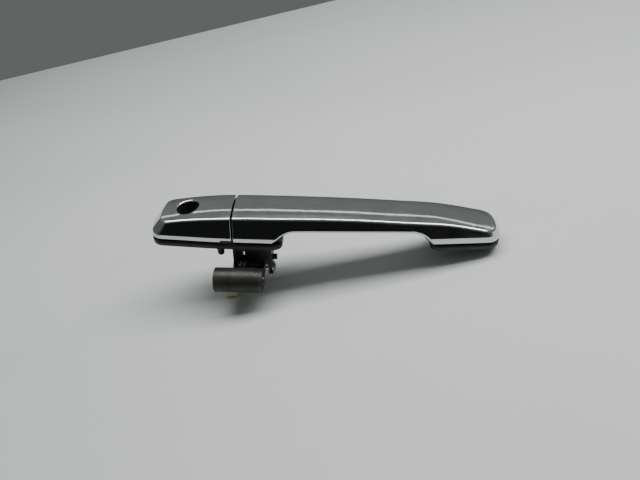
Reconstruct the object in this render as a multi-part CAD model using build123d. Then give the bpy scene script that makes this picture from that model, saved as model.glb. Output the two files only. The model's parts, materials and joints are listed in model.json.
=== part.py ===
from build123d import *
import math
import os

# A car door handle of the strap type. Millimetres, +Z out of the door, +X towards the hinged front end.
# The origin is the lock cylinder's axis in the plane of the door skin.

# ---- outline of the chromed covers, seen from above ----
side_stations = (21.0, 63.0, 172.0)  # where the sides bend
end_bow = 1.4  # how far each blunt end bulges
side_radius = 350.0
# the walls stand upright up to the lip's height and lean in above it, towards a level above the crown
low_z, lip_z = 4.8, 9.2
low_left, low_right = -26.8, 223.0
low_half_widths = (16.3, 19.5, 20.2, 18.1, 14.4)
low_corners, low_bow_radius = (9.0, 11.5), 24.0  # left, right
high_z = 27.0
high_left, high_right = -12.0, 208.0
high_half_widths = (12.2, 13.8, 13.4, 11.3, 8.6)
high_corners, high_bow_radius = (5.5, 6.0), 14.0

# ---- crest line of the covers, seen from the side, at the side crease ----
crest_points = (
    (-34, 15.0), (-16, 18.4), (0, 20.9), (14, 22.4), (31, 23.3), (60, 23.5),
    (101, 23.1), (130, 22.2), (155, 21.0), (181, 19.5), (195, 17.3), (228, 11.0),
)
crest_steps = 40
crown = 1.6  # rise of the middle above the crease
crease_half_width = 13.0
crown_stations = (-24, -18, -12, -6, 0, 6, 12, 18, 24)
crease_radius = 2.2
lip_radius = 6.0  # the bend above the lip
rim_radius = 1.6  # round edge below the covers and along the finger arch

# ---- walls and gaps ----
cover_wall = 1.6
hem_wall = 3.0  # the covers are thicker at their lower edge
core_gap = 0.12  # between a cover and the moulding inside it
parting_x = 33.0
parting_gap = 1.2
parting_edge_radius = 0.5
notch_length, notch_height = 8.6, 2.6  # in the cap's hem beside the parting gap

# ---- finger arch under the strap ----
arch_z = 13.3
arch_feet = (60.0, 174.2)  # where the covers' lower edge ends
arch_shoulders = (71.0, 165.5)
arch_radius = 18.0
core_arch_z = 12.8
core_arch_feet = (67.4, 172.6)
core_arch_shoulders = (67.8, 164.6)
core_arch_radius = 6.0
core_z = 4.8  # underside of the strap's feet

# ---- lock ----
lock_hole_radius = 7.7
lock_rim_radius = 1.2
lock_bore_radius = 7.5
collar_radius = 9.2
collar_low_z, collar_high_z = -5.0, 18.0

# ---- gaskets and base plates ----
gasket_height = 4.0
gasket_margin = 0.4  # beyond the covers' outline
gasket_width = 3.5
gasket_lip_radius = 1.5
rear_gasket_end = 67.7
front_gasket_start = 172.5
gasket_end_corner = 6.0
plate_height = 3.4
plate_gap = 0.1
carrier_floor = 4.0

# ---- front hinge ----
hinge_x, hinge_z = 216.0, -3.5
hinge_pin_radius = 1.75
hinge_eye_radius = 3.0
arm_half_width = 3.0
lug_inner, lug_outer = 3.3, 5.8
arm_bush_radius = 2.3
arm_slot = (208.0, 222.0)

# ---- pivot bracket under the rear base ----
pivot_y, pivot_z = -12.5, -22.3
left_ear = (31.4, 34.0)
right_ear = (56.6, 59.4)
ear_radius = 6.0
ear_slot_half_height = 1.6  # the ears are open at the near side of their bushes
bracket_near, bracket_far = -15.2, 2.0
bracket_sheet = 1.6
near_web_thickness, near_web_low_z = 2.0, -15.4
far_web_low_z = -10.0
web_window_x, web_window_z = (38.2, 39.8), (-10.9, -6.0)  # a slot in front of the spring's leg
nub_end_x, nub_radius, nub_y, nub_z = 62.6, 2.2, -10.0, -15.0
bracket_screws_at = ((44.0, -6.0), (54.0, -6.0))

# ---- crank and its pin ----
pin_radius = 2.0
running_gap = 0.05
seat_gap = 0.02  # between parts that are pressed or riveted together
bush_radius = 4.0
bush_collar = 0.6  # between an ear's bush and the hub
pin_head, pin_head_radius = (29.8, 31.2), 3.2
pin_groove, pin_groove_depth, pin_end = (60.0, 60.8), 0.4, 61.4
pin_clip_radius, pin_clip_half_gap = 3.6, 1.3
hub = (36.2, 53.4)
hub_radius = 4.5
crank_plate = (50.8, 53.4)
finger_half_width = 3.2
weight_arm_half_width = 4.0

# ---- crank finger, roller and hook ----
finger_length = 19.7
finger_rest_angle = -27.0
roller_radius = 2.5
roller_span = (42.0, 50.4)
roller_pin_radius = 1.25
roller_pin_head = 0.7
hook_span = (43.5, 49.5)
hook_gap = 0.8
hook_leg = (10.8, 13.8)
hook_toe_y = -1.0
hook_thickness = 3.0
hook_bends = (4.0, 1.0)  # outer, inner
hook_flange = (43.5, 58.5)
hook_flange_y = (7.6, 14.4)
hook_slot = (40.5, 59.0, 7.4, 14.8)
hook_screw_x, hook_screw_y, hook_screw_top = 54.0, 11.0, 13.0

# ---- counterweight and its rivet ----
weight_y, weight_z = -28.5, -21.9
weight_radius = 9.0
weight_span = (18.8, 50.7)
weight_rim_length, weight_rim_step = 2.4, 0.4
weight_edge_radius = 0.8
weight_groove, weight_groove_depth = (30.0, 30.6), 0.35
rivet_radius = 2.5
rivet_head_radius = 3.8
rivet_recess_depth, rivet_head_height = 1.8, 1.4

# ---- output stud and rod clip ----
stud_y, stud_z = -15.0, -40.0
stud_radius = 2.5
output_arm = (42.0, 45.0)
stud_neck = 2.0
stud_head_radius = 3.1
stud_head_height = 0.9
clip_span = (21.4, 30.6)
clip_side_gap = 0.4
clip_radius = 4.8
clip_low_z = -49.5
clip_corner_radius = 2.0
rod_y = -8.2
rod_radius = 1.6
rod_wall = 2.0  # of the clip around the rod's hole

# ---- return spring ----
wire_radius = 0.6
coil_radius = 5.6
coil_pitch = 1.42
coil_start_x = 37.0
leg_angle_fixed = 10.0
leg_angle_moving = -82.6
whole_turns = 2
fixed_leg, moving_leg = 23.0, 17.0
leg_hole_gap = 0.2

# ---- fixings ----
rear_boss = (20.0, 5.0)
rear_boss_z = -10.0
front_boss = (190.0, 0.0)
front_boss_z = -7.0
boss_radius = 6.0
insert_radius = 4.0
insert_bore = 2.5
insert_top_z = -0.8
insert_groove_depth = 0.4
bolt_clearance = 0.8  # of the mouldings' holes above the inserts
peg_at, peg_radius, peg_tip_radius, peg_length = (22.0, -12.2), 3.1, 2.3, 11.0
carrier_screws_at = ((-13.4, 0.0), (25.5, -6.0))
carrier_post_z = 14.0
carrier_post_radius = 3.2
cover_screws_at = (88.0, 119.0, 150.0)
post_radius = 2.6
post_low_z = 16.8
post_pilot_z = 20.6
cover_head_z, cover_head_radius = 14.4, 2.2
shank_radius = 1.2
pilot_radius = 1.22
screw_hole_radius = 1.4
screw_head_radius, screw_head_height = 2.4, 1.3
recess_half_length, recess_half_width, recess_depth = 1.3, 0.3, 0.8
bumpers_at = ((38.0, 8.0), (38.0, -8.0), (62.0, 0.0))
bumper_radius = 2.0
bumper_stem_radius, bumper_stem_z = 1.2, 1.0
bumper_gap = 0.3  # to the strap's foot

pivot = (pivot_y, pivot_z)
finger = math.radians(finger_rest_angle)
roller_y = pivot_y + finger_length * math.cos(finger)
roller_z = pivot_z + finger_length * math.sin(finger)


def rod_x(x0, x1, radius, y, z):
    """A cylinder along X between two stations."""
    return Pos((x0 + x1) / 2, y, z) * Rot(Y=90) * Cylinder(radius, x1 - x0)


def rod_y_axis(y0, y1, radius, x, z):
    """A cylinder along Y between two stations."""
    return Pos(x, (y0 + y1) / 2, z) * Rot(X=90) * Cylinder(radius, y1 - y0)


def rod_z(z0, z1, radius, x, y):
    """A cylinder along Z between two heights."""
    return Pos(x, y, (z0 + z1) / 2) * Cylinder(radius, z1 - z0)


def block(x0, x1, y0, y1, z0, z1):
    """A box between the given limits."""
    return Pos((x0 + x1) / 2, (y0 + y1) / 2, (z0 + z1) / 2) * Box(x1 - x0, y1 - y0, z1 - z0)


def bar_yz(start, end, half_width, x0, x1):
    """A flat link in the YZ plane with round ends, between two stations along X."""
    length = math.dist(start, end)
    angle = math.degrees(math.atan2(end[1] - start[1], end[0] - start[0]))
    outline = Rot(Z=angle) * SlotCenterToCenter(length, 2 * half_width)
    middle = ((start[0] + end[0]) / 2, (start[1] + end[1]) / 2)
    plane = Plane((x0, 0, 0), x_dir=(0, 1, 0), z_dir=(1, 0, 0))
    return extrude(plane * Pos(*middle) * outline, amount=x1 - x0)


def prism_y(points, y0, y1, rounding=None, radius=0.0):
    """A solid with an XZ outline between two Y stations; rounding picks the corners to round."""
    outline = make_face(Polyline(*points, close=True))
    if rounding is not None:
        outline = fillet(outline.vertices().filter_by(rounding), radius)
    plane = Plane((0, y1, 0), x_dir=(1, 0, 0), z_dir=(0, -1, 0))
    return extrude(plane * outline, amount=y1 - y0)


def vertices_at(outline, x):
    """The vertices of an outline at one station."""
    return outline.vertices().filter_by(lambda v: abs(v.X - x) < 0.01)


def plan(left, right, half_widths, corner_radii, bow_radius, grow):
    """Outline from above, grown all round: slightly bowed blunt ends, round corners, gently bent sides."""
    stations = (left + end_bow - grow, *side_stations, right - end_bow + grow)
    far_side = [(x, half_width + grow) for x, half_width in zip(stations, half_widths)]
    near_side = [(x, -y) for x, y in reversed(far_side)]
    outline = make_face(Polyline((left - grow, 0), *far_side, (right + grow, 0), *near_side, close=True))
    for station, radius in zip((stations[0], stations[-1]), corner_radii):
        outline = fillet(vertices_at(outline, station), radius + grow)
    for station in side_stations:
        outline = fillet(vertices_at(outline, station), side_radius)
    tips = outline.vertices().filter_by(lambda v: abs(v.Y) < 0.01)
    return fillet(tips, bow_radius)


def low_plan(grow):
    """The covers' lower outline, grown all round."""
    return plan(low_left, low_right, low_half_widths, low_corners, low_bow_radius, grow)


def high_plan(grow):
    """The outline above the crown, grown all round."""
    return plan(high_left, high_right, high_half_widths, high_corners, high_bow_radius, grow)


def crest_surface(drop):
    """The crowned top of the covers, lowered by a wall thickness."""
    crest = Spline(*[(x, 0, z) for x, z in crest_points])
    rows = []
    for step in range(crest_steps + 1):
        point = crest @ (step / crest_steps)
        rise = [crown * (1 - (y / crease_half_width) ** 2) for y in crown_stations]
        rows.append([Vector(point.X, y, point.Z + r - drop) for y, r in zip(crown_stations, rise)])
    return Face.make_surface_from_array_of_points(rows)


def handle_shape(hem_inset, top_inset, bottom, crease):
    """The shape of cap and strap in one piece, shrunk at its lower edge and at its top."""
    low = low_plan(-hem_inset)
    high = high_plan(-top_inset)
    levels = ((low, lip_z), (high, high_z))
    wires = [(Pos(0, 0, z) * outline).face().outer_wire() for outline, z in levels]
    body = Part(Solid.make_loft(wires, True).wrapped)
    body += Pos(0, 0, bottom) * extrude(low, amount=lip_z - bottom)
    body -= Part(Solid.extrude(crest_surface(top_inset), Vector(0, 0, 40)).wrapped)
    top = body.faces().sort_by(Axis.Z)[-1]
    body = fillet(top.edges(), crease)
    return fillet(edges_at_height(body, lip_z), lip_radius)


def edges_at_height(body, z):
    """The edges that lie at one height."""
    return body.edges().filter_by(lambda e: all(abs((e @ t).Z - z) < 0.01 for t in (0, 0.5, 1)))


def lower_rims(body):
    """The lower edges of the side walls and of the blunt ends."""
    undersides = body.faces().filter_by(lambda f: f.normal_at().Z < -0.3)
    return undersides.edges().filter_by(lambda e: abs(e.center().Y) > 8 or not 0 < e.center().X < 200)


def arch(feet, shoulders, roof, radius, floor):
    """The space under the strap, as a solid to take away."""
    points = [(feet[0], floor - 20), (feet[0], floor), (shoulders[0], roof)]
    points += [(shoulders[1], roof), (feet[1], floor), (feet[1], floor - 20)]
    return prism_y(points, -40, 40, lambda v: abs(abs(v.Y) - abs(roof)) < 0.01, radius)


def pad(x0, x1, square_end, grow):
    """A pad under the covers as thick as a gasket, cut square with round corners at one end."""
    body = extrude(low_plan(grow), amount=gasket_height) & block(x0, x1, -40, 40, 0, gasket_height)
    corners = body.edges().filter_by(Axis.Z).filter_by(lambda e: abs(e.center().X - square_end) < 0.01)
    return fillet(corners, gasket_end_corner + grow)


def rear_pad(inset):
    """The pad under the cap and the strap's rear foot, shrunk from the gasket's outline."""
    end = rear_gasket_end - inset
    return pad(-60, end, end, gasket_margin - inset)


def front_pad(inset):
    """The pad under the strap's front foot, shrunk from the gasket's outline."""
    start = front_gasket_start + inset
    return pad(start, 300, start, gasket_margin - inset)


def ring(outer, inner):
    """A rubber ring with a round lip."""
    lip = outer.faces().sort_by(Axis.Z)[-1].edges()
    return fillet(lip, gasket_lip_radius) - inner


def screw(z0, z1, x, y, shank, head):
    """A pan-head screw along Z whose head is below z0, with a cross recess."""
    low_z_of_head = z0 - screw_head_height
    body = rod_z(z0, z1, shank, x, y) + rod_z(low_z_of_head, z0, head, x, y)
    recess_top = low_z_of_head + recess_depth
    long, wide = recess_half_length, recess_half_width
    for across, along in ((long, wide), (wide, long)):
        body -= block(x - across, x + across, y - along, y + along, low_z_of_head, recess_top)
    return body


def on_hole(edge):
    """Whether an edge runs around the lock hole's wall."""
    on_wall = [abs(math.hypot(p.X, p.Y) - lock_hole_radius) < 0.02 for p in (edge @ 0.1, edge @ 0.6)]
    return all(on_wall) and edge.length > lock_hole_radius


def cap_cover(outer, inner):
    """The chromed cap with the lock hole and the notch beside the parting gap."""
    end = parting_x - parting_gap / 2
    cap = outer & block(-60, end, -40, 40, 0, 40)
    cap = fillet(lower_rims(cap), rim_radius)
    cap = fillet(edges_in_plane(cap, end), parting_edge_radius)
    cap -= inner
    cap -= rod_z(0, 40, lock_hole_radius, 0, 0)
    rims = cap.edges().filter_by(on_hole)
    highest = max(e.bounding_box().max.Z for e in rims)
    cap = fillet(rims.filter_by(lambda e: e.bounding_box().max.Z > highest - 0.2), lock_rim_radius)
    return cap - block(parting_x - notch_length, parting_x, -30, -10, 0, low_z + notch_height)


def strap_cover(outer, inner):
    """The chromed strap cover with its screw posts."""
    start = parting_x + parting_gap / 2
    strap = outer & block(start, 300, -40, 40, 0, 40)
    strap -= arch(arch_feet, arch_shoulders, arch_z, arch_radius, low_z - 0.6)
    strap = fillet(lower_rims(strap), rim_radius)
    strap = fillet(edges_in_plane(strap, start), parting_edge_radius)
    posts = [rod_z(post_low_z, 30, post_radius, x, 0) for x in cover_screws_at]
    posts = [post & outer for post in posts]
    strap = strap - inner + posts
    return strap - [rod_z(0, post_pilot_z, pilot_radius, x, 0) for x in cover_screws_at]


def edges_in_plane(body, x):
    """The upper edges of a cut face across X, clear of the hem."""
    return body.edges().filter_by(
        lambda e: all(abs((e @ t).X - x) < 0.01 for t in (0, 0.5, 1)) and (e @ 0.5).Z > low_z + 0.01
    )


def filler():
    """The space inside the covers, less the gap, down to the base plate."""
    hem_inset = hem_wall + core_gap
    top_inset = cover_wall + core_gap
    return handle_shape(hem_inset, top_inset, plate_height, crease_radius - cover_wall / 2)


def cap_carrier(space):
    """The moulding that carries the cap cover, with the collar for the lock cylinder."""
    end = parting_x - parting_gap / 2 - 0.3
    inside = space & block(-60, end, -40, 40, 0, 40)
    body = inside & block(-60, end, -40, 40, plate_height, plate_height + carrier_floor)
    body += inside & block(end - 2.2, end, -40, 40, plate_height, 40)
    body += rod_z(collar_low_z, collar_high_z, collar_radius, 0, 0)
    body += [rod_z(plate_height, carrier_post_z, carrier_post_radius, x, y) for x, y in carrier_screws_at]
    body -= rod_z(collar_low_z, collar_high_z, lock_bore_radius, 0, 0)
    body -= [rod_z(0, carrier_post_z - 1.5, pilot_radius, x, y) for x, y in carrier_screws_at]
    return body


def ear(x0, x1):
    """One ear of the bracket, from its top down to the pivot."""
    points = [(bracket_near, 0), (bracket_far, 0)]
    points += [(pivot_y + ear_radius, pivot_z), (pivot_y - ear_radius, pivot_z)]
    plane = Plane((x0, 0, 0), x_dir=(0, 1, 0), z_dir=(1, 0, 0))
    body = extrude(plane * make_face(Polyline(*points, close=True)), amount=x1 - x0)
    body += rod_x(x0, x1, ear_radius, *pivot)
    body -= rod_x(x0, x1, bush_radius, *pivot)
    low, high = pivot_z - ear_slot_half_height, pivot_z + ear_slot_half_height
    return body - block(x0, x1, pivot_y - 2 * ear_radius, pivot_y, low, high)


def pivot_bracket():
    """The black bracket under the rear base: two ears, webs and a top sheet."""
    x0, x1 = left_ear[0], right_ear[1]
    near_web_far = bracket_near + near_web_thickness
    body = ear(*left_ear) + ear(*right_ear)
    body += block(x0, x1, bracket_near, bracket_far, -bracket_sheet, 0)
    body += block(x0, x1, bracket_near, near_web_far, near_web_low_z, 0)
    body -= block(*web_window_x, bracket_near, near_web_far, *web_window_z)
    body += block(x0, x1, bracket_far - bracket_sheet, bracket_far, far_web_low_z, 0)
    body += rod_x(right_ear[0], nub_end_x, nub_radius, nub_y, nub_z)
    body -= [rod_z(-bracket_sheet, 0, screw_hole_radius, x, y) for x, y in bracket_screws_at]
    return body - spring_leg_hole()


def base_plate(space):
    """The plate inside a gasket ring."""
    return space & block(-60, 300, -40, 40, 0, plate_height)


def rear_base():
    """The rear base moulding with its screw boss and locating peg."""
    body = base_plate(rear_pad(gasket_width + plate_gap))
    body += rod_z(rear_boss_z, 1, boss_radius, *rear_boss)
    peg = Pos(*peg_at, -peg_length / 2) * Cone(peg_tip_radius, peg_radius, peg_length)
    body += fillet(peg.faces().sort_by(Axis.Z)[0].edges(), peg_tip_radius / 2)
    body -= rod_z(-1, plate_height, collar_radius + 0.2, 0, 0)
    body -= block(*hook_slot, -1, plate_height)
    body -= rod_z(rear_boss_z, insert_top_z, insert_radius, *rear_boss)
    body -= rod_z(rear_boss_z, plate_height, insert_bore + bolt_clearance, *rear_boss)
    body -= [rod_z(-1, plate_height, screw_hole_radius, x, y) for x, y in carrier_screws_at]
    body -= [rod_z(bumper_stem_z, plate_height, bumper_stem_radius, x, y) for x, y in bumpers_at]
    body -= [rod_z(-1, plate_height - 0.8, pilot_radius, x, y) for x, y in bracket_screws_at]
    return body - spring_leg_hole()


def front_base():
    """The front base moulding with the lugs of the strap's hinge."""
    body = base_plate(front_pad(gasket_width + plate_gap))
    for side in (-1, 1):
        y0, y1 = sorted((side * lug_inner, side * lug_outer))
        lug = [(208, 1), (hinge_x + 2.6, 1), (hinge_x + hinge_eye_radius, hinge_z)]
        lug += [(hinge_x - hinge_eye_radius, hinge_z)]
        body += prism_y(lug, y0, y1) + rod_y_axis(y0, y1, hinge_eye_radius, hinge_x, hinge_z)
    body += rod_z(front_boss_z, 1, boss_radius, *front_boss)
    body -= block(*arm_slot, -lug_inner, lug_inner, -20, plate_height)
    body -= rod_y_axis(-20, 20, hinge_pin_radius + seat_gap, hinge_x, hinge_z)
    body -= rod_z(front_boss_z, insert_top_z, insert_radius, *front_boss)
    return body - rod_z(front_boss_z, plate_height, insert_bore + bolt_clearance, *front_boss)


def insert(z0, z1, x, y):
    """A round threaded insert with two grooves around it."""
    body = rod_z(z0, z1, insert_radius, x, y) - rod_z(z0, z1, insert_bore, x, y)
    floor_radius = insert_radius - insert_groove_depth
    for share in (1 / 3, 2 / 3):
        z = z0 + share * (z1 - z0)
        low, high = z - insert_groove_depth, z + insert_groove_depth
        body -= rod_z(low, high, insert_radius, x, y) - rod_z(low, high, floor_radius, x, y)
    return body


def mount_inserts():
    """The threaded inserts of the rear and the front boss."""
    rear = insert(rear_boss_z, insert_top_z, *rear_boss)
    return rear + insert(front_boss_z, insert_top_z, *front_boss)


def strap_core(space):
    """The black moulding inside the strap, with the hinge arm at its front end."""
    body = space & block(parting_x + parting_gap / 2 + 0.3, 300, -40, 40, core_z, 40)
    body -= arch(core_arch_feet, core_arch_shoulders, core_arch_z, core_arch_radius, core_z - 1)
    arm = [(hinge_x - 6.2, core_z + 1), (hinge_x + 1, core_z + 1)]
    arm += [(hinge_x + hinge_eye_radius, hinge_z), (hinge_x - hinge_eye_radius, hinge_z)]
    body += prism_y(arm, -arm_half_width, arm_half_width)
    body += rod_y_axis(-arm_half_width, arm_half_width, hinge_eye_radius, hinge_x, hinge_z)
    body -= rod_y_axis(-5, 5, arm_bush_radius, hinge_x, hinge_z)
    body -= block(*hook_flange, *hook_flange_y, 0, core_z + hook_thickness)
    body -= rod_z(core_z, hook_screw_top, pilot_radius, hook_screw_x, hook_screw_y)
    body -= [rod_z(post_low_z - 0.1, 30, post_radius + 0.1, x, 0) for x in cover_screws_at]
    body -= [rod_z(0, 30, screw_hole_radius, x, 0) for x in cover_screws_at]
    return body - [rod_z(0, cover_head_z, cover_head_radius + 0.2, x, 0) for x in cover_screws_at]


def pull_hook():
    """The steel hook that pulls the crank's finger up."""
    toe_z = roller_z - roller_radius - hook_gap
    low = toe_z - hook_thickness
    near, far = hook_leg
    points = [(hook_toe_y, toe_z), (near, toe_z), (near, core_z)]
    points += [(far, core_z), (far, low), (hook_toe_y, low)]
    outline = make_face(Polyline(*points, close=True))
    for y, radius in zip((far, near), hook_bends):
        outline = fillet(vertices_at(outline, y).filter_by(lambda v: v.Y < 0), radius)
    plane = Plane((hook_span[0], 0, 0), x_dir=(0, 1, 0), z_dir=(1, 0, 0))
    body = extrude(plane * outline, amount=hook_span[1] - hook_span[0])
    flange_y = (hook_flange_y[0] + 0.1, hook_flange_y[1] - 0.1)
    flange_x = (hook_flange[0] + 0.1, hook_flange[1] - 0.1)
    body += block(*flange_x, *flange_y, core_z, core_z + hook_thickness - 0.05)
    return body - rod_z(0, 20, screw_hole_radius, hook_screw_x, hook_screw_y)


def bell_crank():
    """The crank with its finger, its weight arm and its output arm."""
    body = rod_x(*hub, hub_radius, *pivot)
    body += bar_yz(pivot, (roller_y, roller_z), finger_half_width, *crank_plate)
    body += bar_yz(pivot, (weight_y, weight_z), weight_arm_half_width, *crank_plate)
    body += rod_x(*crank_plate, weight_radius - 0.6, weight_y, weight_z)
    body += bar_yz(pivot, (stud_y, stud_z), finger_half_width, *output_arm)
    body -= rod_x(0, 90, pin_radius + running_gap, *pivot)
    body -= rod_x(*crank_plate, roller_pin_radius + seat_gap, roller_y, roller_z)
    body -= rod_x(*crank_plate, rivet_radius + seat_gap, weight_y, weight_z)
    return body - rod_x(*output_arm, stud_neck + seat_gap, stud_y, stud_z)


def counterweight():
    """The cast cylinder with a groove, a stepped rim and a recess for the rivet's head."""
    start, end = weight_span
    axis = (weight_y, weight_z)
    body = rod_x(start, end - weight_rim_length, weight_radius, *axis)
    body = fillet(body.faces().sort_by(Axis.X)[0].edges(), weight_edge_radius)
    body += rod_x(end - weight_rim_length, end, weight_radius - weight_rim_step, *axis)
    groove = rod_x(*weight_groove, weight_radius, *axis)
    body -= groove - rod_x(*weight_groove, weight_radius - weight_groove_depth, *axis)
    body -= rod_x(start, start + rivet_recess_depth, rivet_head_radius + weight_rim_step, *axis)
    return body - rod_x(start, end, rivet_radius + seat_gap, *axis)


def weight_rivet():
    """The long rivet through the counterweight and the crank."""
    start, end = weight_span[0] + rivet_recess_depth, crank_plate[1]
    axis = (weight_y, weight_z)
    body = rod_x(start, end, rivet_radius, *axis)
    body += rod_x(start - rivet_head_height, start, rivet_head_radius, *axis)
    return body + rod_x(end, end + rivet_head_height, rivet_head_radius, *axis)


def roller():
    """The roller on the crank's finger."""
    body = rod_x(*roller_span, roller_radius, roller_y, roller_z)
    return body - rod_x(*roller_span, roller_pin_radius + running_gap, roller_y, roller_z)


def roller_pin():
    """The pin of the roller, with a head at each end."""
    axis = (roller_y, roller_z)
    start, end = roller_span[0] - bumper_gap, crank_plate[1]
    body = rod_x(start, end, roller_pin_radius, *axis)
    body += rod_x(start - roller_pin_head, start, roller_pin_radius + roller_pin_head, *axis)
    return body + rod_x(end, end + roller_pin_head, roller_pin_radius + roller_pin_head, *axis)


def rod_stud():
    """The stud that carries the rod clip."""
    axis = (stud_y, stud_z)
    start, end = clip_span[0] - clip_side_gap, clip_span[1] + clip_side_gap
    body = rod_x(start, output_arm[0], stud_radius, *axis)
    body += rod_x(start - stud_head_height, start, stud_head_radius, *axis)
    body += rod_x(end, end + stud_head_height, stud_head_radius, *axis)
    body += rod_x(*output_arm, stud_neck, *axis)
    return body + rod_x(output_arm[1], output_arm[1] + stud_head_height, stud_neck + stud_head_height, *axis)


def rod_clip():
    """The clip that swivels on the stud and holds the lock rod."""
    body = rod_x(*clip_span, clip_radius, stud_y, stud_z)
    near, far = rod_y - rod_radius - rod_wall, rod_y + rod_radius + rod_wall
    foot = block(*clip_span, stud_y - clip_radius, far, clip_low_z, stud_z)
    foot += block(*clip_span, near, far, stud_z, stud_z + clip_corner_radius)
    foot = fillet(foot.faces().sort_by(Axis.Z)[0].edges().filter_by(Axis.X), clip_corner_radius)
    body += foot
    body -= rod_x(*clip_span, stud_radius + running_gap, stud_y, stud_z)
    return body - rod_z(clip_low_z, stud_z + clip_radius, rod_radius, sum(clip_span) / 2, rod_y)


def pin_clip():
    """The open retaining ring in the pivot pin's groove."""
    x0, x1 = pin_groove
    body = rod_x(x0 + running_gap, x1 - running_gap, pin_clip_radius, *pivot)
    body -= rod_x(x0, x1, pin_radius - pin_groove_depth + running_gap, *pivot)
    half_gap = pin_clip_half_gap
    return body - block(x0, x1, pivot_y - half_gap, pivot_y + half_gap, pivot_z - pin_clip_radius, pivot_z)


def pivot_pin():
    """The headed pin of the crank, with a groove for its ring."""
    body = rod_x(pin_head[1], pin_end, pin_radius, *pivot)
    body += rod_x(*pin_head, pin_head_radius, *pivot)
    body = fillet(body.faces().sort_by(Axis.X)[0].edges(), pin_groove_depth)
    groove = rod_x(*pin_groove, pin_radius, *pivot)
    return body - (groove - rod_x(*pin_groove, pin_radius - pin_groove_depth, *pivot))


def pivot_bushes():
    """The two bright bushes in the ears."""
    left = rod_x(left_ear[0], hub[0] - bush_collar, bush_radius - seat_gap, *pivot)
    right = rod_x(hub[1] + bush_collar, right_ear[1] + bumper_gap, bush_radius - seat_gap, *pivot)
    return (left + right) - rod_x(left_ear[0], nub_end_x, pin_radius + seat_gap, *pivot)


def coil_point(angle, x):
    """A point on the coil's centre line and the way the wire runs there, towards the moving leg."""
    turn = math.radians(angle)
    at = Vector(x, pivot_y + coil_radius * math.cos(turn), pivot_z + coil_radius * math.sin(turn))
    return at, Vector(0, math.sin(turn), -math.cos(turn))


def spring_leg_hole():
    """The hole in the base plate for the spring's fixed leg."""
    start, way = coil_point(leg_angle_fixed, coil_start_x)
    plane = Plane(start - way * (fixed_leg + leg_hole_gap), z_dir=way)
    return extrude(plane * Circle(wire_radius + leg_hole_gap), amount=fixed_leg / 2)


def return_spring():
    """The torsion spring around the crank's hub, with one leg in the base and one under the weight."""
    turns = whole_turns + (leg_angle_fixed - leg_angle_moving) / 360
    length = turns * coil_pitch
    start, start_way = coil_point(leg_angle_fixed, coil_start_x)
    end, end_way = coil_point(leg_angle_moving, coil_start_x + length)
    turn = math.radians(leg_angle_fixed)
    axis_plane = Plane(
        (coil_start_x, *pivot), x_dir=(0, math.cos(turn), math.sin(turn)), z_dir=(1, 0, 0)
    )
    coil = axis_plane * Helix(coil_pitch, length, coil_radius, lefthand=True)
    first_leg = Line(start - start_way * fixed_leg, start)
    last_leg = Line(end, end + end_way * moving_leg)
    wire = Circle(wire_radius)
    body = sweep(Plane(first_leg @ 0, z_dir=start_way) * wire, path=first_leg)
    body += sweep(Plane(coil @ 0, z_dir=coil % 0) * wire, path=coil, is_frenet=True)
    body += sweep(Plane(last_leg @ 0, z_dir=end_way) * wire, path=last_leg)
    body += Pos(*start) * Sphere(wire_radius) + Pos(*end) * Sphere(wire_radius)
    return body


def bumpers():
    """The rubber bumpers that the strap's rear foot closes on."""
    body = Part()
    for x, y in bumpers_at:
        body += rod_z(plate_height, core_z - bumper_gap, bumper_radius, x, y)
        body += rod_z(bumper_stem_z, plate_height, bumper_stem_radius, x, y)
    return body


def screws(places, z0, z1, head):
    """Equal screws along Z at several places."""
    return sum((screw(z0, z1, x, y, shank_radius, head) for x, y in places), Part())


def bracket_screws():
    """The screws that hold the bracket up to the rear base."""
    return screws(bracket_screws_at, -bracket_sheet, plate_height - 1.2, screw_head_radius)


def rear_gasket():
    """The rear gasket with the tab that fills the cap's notch."""
    tab_start, tab_end = parting_x - notch_length + 0.6, parting_x - 0.6
    tab = block(tab_start, tab_end, -19.0, -17.6, gasket_height - 2, low_z + notch_height - 0.6)
    return ring(rear_pad(0), rear_pad(gasket_width)) + tab


def arm_bush():
    """The bush in the eye of the hinge arm."""
    body = rod_y_axis(-arm_half_width, arm_half_width, arm_bush_radius - seat_gap, hinge_x, hinge_z)
    return body - rod_y_axis(-5, 5, hinge_pin_radius + running_gap, hinge_x, hinge_z)


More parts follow.
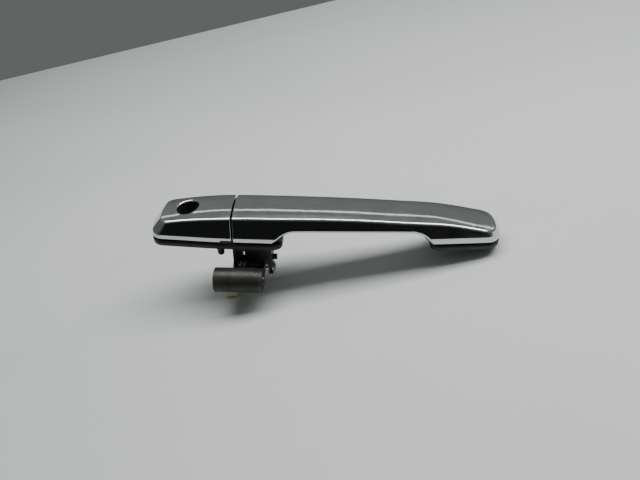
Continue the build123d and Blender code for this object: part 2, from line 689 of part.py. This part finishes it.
def build():
    """Every node of the handle by name."""
    space = filler()
    outer = handle_shape(0, 0, low_z, crease_radius)
    inner = handle_shape(hem_wall, cover_wall, low_z - 1, crease_radius - cover_wall / 2)
    cover_places = [(x, 0) for x in cover_screws_at]
    hook_place = [(hook_screw_x, hook_screw_y)]
    return {
        "cap_cover": cap_cover(outer, inner),
        "cap_carrier": cap_carrier(space),
        "carrier_screws": screws(carrier_screws_at, 0, carrier_post_z - 2, screw_head_radius),
        "rear_gasket": rear_gasket(),
        "rear_base": rear_base(),
        "pivot_bracket": pivot_bracket(),
        "bracket_screws": bracket_screws(),
        "mount_inserts": mount_inserts(),
        "closing_bumpers": bumpers(),
        "pivot_bushes": pivot_bushes(),
        "pivot_pin": pivot_pin(),
        "pin_clip": pin_clip(),
        "return_spring": return_spring(),
        "front_gasket": ring(front_pad(0), front_pad(gasket_width)),
        "front_base": front_base(),
        "front_hinge_pin": rod_y_axis(-lug_outer, lug_outer, hinge_pin_radius, hinge_x, hinge_z),
        "handle_cover": strap_cover(outer, inner),
        "handle_core": strap_core(space),
        "cover_screws": screws(cover_places, cover_head_z, post_pilot_z - 1, cover_head_radius),
        "pull_hook": pull_hook(),
        "hook_screw": screws(hook_place, core_z, hook_screw_top - 1, screw_head_radius),
        "front_arm_bush": arm_bush(),
        "bell_crank": bell_crank(),
        "counterweight": counterweight(),
        "weight_rivet": weight_rivet(),
        "crank_roller": roller(),
        "roller_pin": roller_pin(),
        "rod_stud": rod_stud(),
        "rod_clip": rod_clip(),
    }


os.makedirs("parts", exist_ok=True)
for name, shape in build().items():
    export_step(shape, f"parts/{name}.step")
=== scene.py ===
import json
import math

import bmesh
import bpy
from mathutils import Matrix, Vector


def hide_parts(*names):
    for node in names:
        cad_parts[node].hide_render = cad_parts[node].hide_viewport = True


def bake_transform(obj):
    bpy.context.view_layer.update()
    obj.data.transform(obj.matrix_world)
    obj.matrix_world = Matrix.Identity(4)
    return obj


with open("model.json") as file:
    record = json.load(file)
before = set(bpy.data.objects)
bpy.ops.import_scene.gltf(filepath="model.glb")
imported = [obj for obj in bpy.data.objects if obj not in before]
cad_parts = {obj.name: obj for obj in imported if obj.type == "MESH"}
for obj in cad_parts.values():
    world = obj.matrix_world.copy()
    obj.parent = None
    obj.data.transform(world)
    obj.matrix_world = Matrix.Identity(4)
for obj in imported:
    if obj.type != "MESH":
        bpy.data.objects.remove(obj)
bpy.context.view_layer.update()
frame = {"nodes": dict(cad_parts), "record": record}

# places on the object are in millimetres, and the stage's own sizes are in metres
MM = 0.001
middle_x = 94.0

# ---- the line the table follows: under the rod clip's foot and the eye of the front hinge ----
foot_x, foot_z = 30.6, -49.5
toe_x, toe_z = 216.7, -6.5
table_slope = math.atan2(toe_z - foot_z, toe_x - foot_x)
table_front, table_back = -0.19, 0.75
table_length = 2.4
table_gap = 0.0002

# ---- camera ----
camera_target = Vector((middle_x, 0.0, -6.85)) * MM
camera_distance = 0.372
camera_azimuth = math.radians(1.5)
camera_elevation = math.radians(40.0)
camera_lens = 28.1

# ---- the surround's glows ----
# each has the elevation of its middle in degrees from straight behind, its strength outside and inside,
# and the cosines of the angles from its middle where its rim starts and ends
glows = (
    (180.0, 0.13, 0.012, 0.50, 0.86),  # dim only where the front walls look
    (70.0, 0.0, 0.04, 0.30, 0.52),
    (90.0, 0.0, 0.05, 0.12, 0.45),
    (70.0, 0.0, 0.14, 0.975, 0.99),
)

# ---- soft lamps: name, width and depth, power in watts, place ----
lamps = (
    ("overhead", (1.6, 0.41), 16, (0.09, 0.155, 0.95)),
    ("strip", (2.4, 0.05), 0.6, (0.09, 0.755, 0.93)),
)


# ======================= materials =======================

def new_tree(name):
    """A material with an empty node tree and its output."""
    material = bpy.data.materials.new(name)
    material.use_nodes = True
    tree = material.node_tree
    tree.nodes.clear()
    output = tree.nodes.new("ShaderNodeOutputMaterial")
    return material, tree, output


def place(tree):
    """The object's own coordinates."""
    return tree.nodes.new("ShaderNodeTexCoord").outputs["Object"]


def noise(tree, scale, detail=4.0, rough=0.55, stretch=(1, 1, 1)):
    """Noise over the object's own coordinates, stretched along an axis if asked."""
    mapping = tree.nodes.new("ShaderNodeMapping")
    mapping.inputs["Scale"].default_value = stretch
    tree.links.new(place(tree), mapping.inputs["Vector"])
    node = tree.nodes.new("ShaderNodeTexNoise")
    node.inputs["Scale"].default_value = scale
    node.inputs["Detail"].default_value = detail
    node.inputs["Roughness"].default_value = rough
    tree.links.new(mapping.outputs["Vector"], node.inputs["Vector"])
    return node.outputs["Fac"]


def spread(tree, value, low, high, start=0.3, end=0.7):
    """A value mapped from a middle span to a range."""
    node = tree.nodes.new("ShaderNodeMapRange")
    node.inputs["From Min"].default_value = start
    node.inputs["From Max"].default_value = end
    node.inputs["To Min"].default_value = low
    node.inputs["To Max"].default_value = high
    tree.links.new(value, node.inputs["Value"])
    return node.outputs["Result"]


def tint(tree, factor, dark, light):
    """A colour between two, by a factor."""
    node = tree.nodes.new("ShaderNodeMix")
    node.data_type = "RGBA"
    node.inputs[6].default_value = (*dark, 1)
    node.inputs[7].default_value = (*light, 1)
    tree.links.new(factor, node.inputs[0])
    return node.outputs[2]


def bump(tree, height, distance, strength=1.0, under=None):
    """A bump from a height, over another bump if given."""
    node = tree.nodes.new("ShaderNodeBump")
    node.inputs["Distance"].default_value = distance
    node.inputs["Strength"].default_value = strength
    tree.links.new(height, node.inputs["Height"])
    if under is not None:
        tree.links.new(under, node.inputs["Normal"])
    return node.outputs["Normal"]


def surface(name, dark, light, metal, rough, grain, grain_depth, patch=40.0, stretch=(1, 1, 1)):
    """A general surface: patchy colour and roughness with a fine grain."""
    material, tree, output = new_tree(name)
    shader = tree.nodes.new("ShaderNodeBsdfPrincipled")
    tree.links.new(shader.outputs["BSDF"], output.inputs["Surface"])
    shader.inputs["Metallic"].default_value = metal
    patches = spread(tree, noise(tree, patch, 5.0), 0.0, 1.0)
    tree.links.new(tint(tree, patches, dark, light), shader.inputs["Base Color"])
    smears = spread(tree, noise(tree, patch * 2.7, 6.0, 0.6, stretch), *rough)
    tree.links.new(smears, shader.inputs["Roughness"])
    fine = noise(tree, grain, 3.0, 0.5, stretch)
    tree.links.new(bump(tree, fine, grain_depth), shader.inputs["Normal"])
    return material


def chrome(name):
    """Polished chrome plating with faint waves, fine wipe marks and a few dull specks."""
    material, tree, output = new_tree(name)
    shader = tree.nodes.new("ShaderNodeBsdfPrincipled")
    tree.links.new(shader.outputs["BSDF"], output.inputs["Surface"])
    shader.inputs["Metallic"].default_value = 1.0
    haze = noise(tree, 55.0, 6.0, 0.65)
    tree.links.new(tint(tree, spread(tree, haze, 0.0, 1.0), (0.58, 0.59, 0.60), (0.66, 0.67, 0.685)),
                   shader.inputs["Base Color"])
    wipes = noise(tree, 900.0, 3.0, 0.6, (0.08, 1.0, 1.0))
    rough = tree.nodes.new("ShaderNodeMath")
    rough.operation = "ADD"
    tree.links.new(spread(tree, haze, 0.055, 0.10), rough.inputs[0])
    tree.links.new(spread(tree, wipes, 0.0, 0.035, 0.45, 0.75), rough.inputs[1])
    tree.links.new(rough.outputs["Value"], shader.inputs["Roughness"])
    waves = noise(tree, 38.0, 1.0, 0.4, (0.5, 1.0, 1.0))
    normal = bump(tree, waves, 0.00008, 0.5)
    specks = tree.nodes.new("ShaderNodeTexVoronoi")
    specks.inputs["Scale"].default_value = 420.0
    tree.links.new(place(tree), specks.inputs["Vector"])
    pits = spread(tree, specks.outputs["Distance"], 1.0, 0.0, 0.02, 0.06)
    tree.links.new(bump(tree, pits, 0.000008, 0.35, normal), shader.inputs["Normal"])
    return material


looks = {
    "chrome_cap": chrome("chrome_cap"),
    "chrome_strap": chrome("chrome_strap"),
    "carrier_plastic": surface(
        "carrier_plastic", (0.012, 0.012, 0.013), (0.022, 0.022, 0.024),
        metal=0, rough=(0.42, 0.6), grain=2600, grain_depth=0.00002,
    ),
    "base_plastic": surface(
        "base_plastic", (0.010, 0.010, 0.011), (0.024, 0.024, 0.026),
        metal=0, rough=(0.38, 0.58), grain=2200, grain_depth=0.00003,
    ),
    "core_plastic": surface(
        "core_plastic", (0.008, 0.008, 0.009), (0.018, 0.018, 0.020),
        metal=0, rough=(0.40, 0.58), grain=2600, grain_depth=0.00002,
    ),
    "gasket_rubber": surface(
        "gasket_rubber", (0.005, 0.005, 0.005), (0.010, 0.010, 0.010),
        metal=0, rough=(0.40, 0.60), grain=1800, grain_depth=0.00003,
    ),
    "bumper_rubber": surface(
        "bumper_rubber", (0.015, 0.015, 0.015), (0.03, 0.03, 0.03),
        metal=0, rough=(0.5, 0.7), grain=1800, grain_depth=0.00003,
    ),
    "screw_steel": surface(
        "screw_steel", (0.36, 0.37, 0.39), (0.55, 0.56, 0.58),
        metal=1, rough=(0.22, 0.42), grain=2400, grain_depth=0.00001, patch=120,
    ),
    "insert_brass": surface(
        "insert_brass", (0.55, 0.38, 0.14), (0.75, 0.56, 0.26),
        metal=1, rough=(0.2, 0.38), grain=2400, grain_depth=0.00001, patch=120, stretch=(0.2, 0.2, 3),
    ),
    "bush_steel": surface(
        "bush_steel", (0.55, 0.56, 0.57), (0.74, 0.75, 0.76),
        metal=1, rough=(0.16, 0.34), grain=2400, grain_depth=0.00001, patch=120, stretch=(3, 0.3, 0.3),
    ),
    "rivet_steel": surface(
        "rivet_steel", (0.05, 0.05, 0.052), (0.11, 0.11, 0.115),
        metal=0.8, rough=(0.3, 0.5), grain=2400, grain_depth=0.00001, patch=120,
    ),
    "bracket_metal": surface(
        "bracket_metal", (0.008, 0.008, 0.009), (0.020, 0.020, 0.022),
        metal=0.1, rough=(0.40, 0.58), grain=2000, grain_depth=0.00003,
    ),
    "pin_steel": surface(
        "pin_steel", (0.48, 0.49, 0.51), (0.68, 0.69, 0.71),
        metal=1, rough=(0.16, 0.36), grain=2400, grain_depth=0.00001, patch=120, stretch=(3, 0.3, 0.3),
    ),
    "clip_steel": surface(
        "clip_steel", (0.18, 0.18, 0.19), (0.34, 0.34, 0.35),
        metal=1, rough=(0.3, 0.5), grain=2400, grain_depth=0.00001, patch=120,
    ),
    "spring_steel": surface(
        "spring_steel", (0.20, 0.21, 0.22), (0.34, 0.35, 0.36),
        metal=1, rough=(0.3, 0.5), grain=3000, grain_depth=0.00001, patch=160,
    ),
    "hook_steel": surface(
        "hook_steel", (0.03, 0.03, 0.032), (0.07, 0.07, 0.074),
        metal=0.6, rough=(0.3, 0.5), grain=2000, grain_depth=0.00002,
    ),
    "bush_plastic": surface(
        "bush_plastic", (0.62, 0.60, 0.54), (0.72, 0.70, 0.64),
        metal=0, rough=(0.35, 0.5), grain=2200, grain_depth=0.00001,
    ),
    "crank_metal": surface(
        "crank_metal", (0.012, 0.012, 0.013), (0.035, 0.034, 0.033),
        metal=0.2, rough=(0.36, 0.58), grain=1600, grain_depth=0.00004,
    ),
    "weight_metal": surface(
        "weight_metal", (0.020, 0.022, 0.017), (0.042, 0.045, 0.035),
        metal=0.5, rough=(0.36, 0.56), grain=1400, grain_depth=0.00004, patch=60, stretch=(1.6, 0.6, 0.6),
    ),
    "roller_plastic": surface(
        "roller_plastic", (0.62, 0.60, 0.54), (0.74, 0.72, 0.66),
        metal=0, rough=(0.35, 0.5), grain=2200, grain_depth=0.00001,
    ),
    "clip_plastic": surface(
        "clip_plastic", (0.56, 0.47, 0.31), (0.70, 0.61, 0.44),
        metal=0, rough=(0.38, 0.55), grain=1800, grain_depth=0.00002,
    ),
}

slots = {part["node"]: part["material_slot"] for part in frame["record"]["subparts"]}
for node, obj in frame["nodes"].items():
    obj.data.materials.clear()
    obj.data.materials.append(looks[slots[node]])


# ======================= return spring =======================

pivot_y, pivot_z = -12.5, -22.3
wire_radius, coil_radius, coil_pitch = 0.6, 5.6, 1.42
coil_start_x, coil_start_angle, coil_turn = 37.0, math.radians(10.0), math.radians(812.6)
fixed_leg, moving_leg = 23.0, 17.0
coil_steps, wire_sides = 96, 14


def coil_at(turned):
    """A point of the coil's centre line and the way of the wire there, after a turn from the fixed leg."""
    angle = coil_start_angle - turned
    x = coil_start_x + coil_pitch * turned / math.tau
    at = Vector((x, pivot_y + coil_radius * math.cos(angle), pivot_z + coil_radius * math.sin(angle)))
    return at, Vector((0, math.sin(angle), -math.cos(angle)))


def spring_line():
    """The centre line of the wire: fixed leg, coil, moving leg."""
    first, first_way = coil_at(0)
    last, last_way = coil_at(coil_turn)
    line = [first - first_way * fixed_leg]
    line += [coil_at(coil_turn * step / coil_steps)[0] for step in range(coil_steps + 1)]
    line.append(last + last_way * moving_leg)
    return line


def wire_mesh(name, line, radius, sides):
    """A round wire along a line of points, closed at both ends."""
    form = bmesh.new()
    side = Vector((1, 0, 0))
    rings = []
    for index, point in enumerate(line):
        before = line[max(index - 1, 0)]
        after = line[min(index + 1, len(line) - 1)]
        way = (after - before).normalized()
        side = (side - way * side.dot(way)).normalized()
        up = way.cross(side)
        turns = [math.tau * step / sides for step in range(sides)]
        spots = [point + (side * math.cos(turn) + up * math.sin(turn)) * radius for turn in turns]
        rings.append([form.verts.new(spot * MM) for spot in spots])
    for ring, following in zip(rings, rings[1:]):
        for step in range(sides):
            other = (step + 1) % sides
            form.faces.new((ring[step], ring[other], following[other], following[step]))
    form.faces.new(list(reversed(rings[0])))
    form.faces.new(rings[-1])
    bmesh.ops.recalc_face_normals(form, faces=form.faces)
    for face in form.faces:
        face.smooth = len(face.verts) == 4
    mesh = bpy.data.meshes.new(name)
    form.to_mesh(mesh)
    form.free()
    obj = bpy.data.objects.new(name, mesh)
    bpy.context.collection.objects.link(obj)
    return obj


spring = wire_mesh("return_spring_wire", spring_line(), wire_radius, wire_sides)
spring.data.materials.append(looks["spring_steel"])
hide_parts("return_spring")
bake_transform(spring)


# ======================= stage =======================

def table_top():
    """The pale table the handle rests on."""
    mesh = bpy.data.meshes.new("table_top")
    grid = bmesh.new()
    bmesh.ops.create_grid(grid, x_segments=24, y_segments=24, size=0.5)
    grid.to_mesh(mesh)
    grid.free()
    top = bpy.data.objects.new("table_top", mesh)
    bpy.context.collection.objects.link(top)
    top.scale = (table_length, table_back - table_front, 1.0)
    top.rotation_euler = (0, -table_slope, 0)
    middle_y = (table_front + table_back) / 2
    middle_z = (foot_z + (middle_x - foot_x) * math.tan(table_slope)) * MM
    top.location = (middle_x * MM, middle_y, middle_z - table_gap)
    paint = surface(
        "table_paint", (0.60, 0.63, 0.61), (0.66, 0.69, 0.67),
        metal=0, rough=(0.55, 0.7), grain=700, grain_depth=0.00002, patch=3.0,
    )
    top.data.materials.append(paint)
    return top


def lamp(name, size, power, place_at):
    """A rectangular soft lamp that looks at the handle's middle."""
    data = bpy.data.lights.new(name, "AREA")
    data.shape = "RECTANGLE"
    data.size, data.size_y = size
    data.energy = power
    obj = bpy.data.objects.new(name, data)
    bpy.context.collection.objects.link(obj)
    obj.location = place_at
    direction = Vector((middle_x * MM, 0.0, 0.0)) - Vector(place_at)
    obj.rotation_euler = direction.to_track_quat("-Z", "Y").to_euler()


def set_world():
    """A soft surround made of the glows: even all round, dim in front of the handle and brighter overhead."""
    world = bpy.data.worlds.new("surround")
    bpy.context.scene.world = world
    world.use_nodes = True
    tree = world.node_tree
    direction = tree.nodes.new("ShaderNodeTexCoord").outputs["Generated"]
    shade = tree.nodes["Background"]
    shade.inputs["Color"].default_value = (0.94, 1.0, 0.97, 1)
    total = None
    for degrees, outside, inside, rim_start, rim_end in glows:
        elevation = math.radians(degrees)
        along = tree.nodes.new("ShaderNodeVectorMath")
        along.operation = "DOT_PRODUCT"
        along.inputs[1].default_value = (0.0, math.cos(elevation), math.sin(elevation))
        tree.links.new(direction, along.inputs[0])
        glow = spread(tree, along.outputs["Value"], outside, inside, rim_start, rim_end)
        if total is not None:
            joined = tree.nodes.new("ShaderNodeMath")
            joined.operation = "ADD"
            tree.links.new(total, joined.inputs[0])
            tree.links.new(glow, joined.inputs[1])
            glow = joined.outputs["Value"]
        total = glow
    tree.links.new(total, shade.inputs["Strength"])


def set_camera():
    """The camera in front of and above the handle."""
    data = bpy.data.cameras.new("camera")
    data.lens = camera_lens
    data.sensor_width = 36
    camera = bpy.data.objects.new("camera", data)
    bpy.context.collection.objects.link(camera)
    toward = Vector((
        math.sin(camera_azimuth) * math.cos(camera_elevation),
        -math.cos(camera_azimuth) * math.cos(camera_elevation),
        math.sin(camera_elevation),
    ))
    camera.location = camera_target + toward * camera_distance
    camera.rotation_euler = (-toward).to_track_quat("-Z", "Y").to_euler()
    data.clip_start = 0.01
    bpy.context.scene.camera = camera


table_top()
set_world()
set_camera()
for name, size, power, place_at in lamps:
    lamp(name, size, power, place_at)
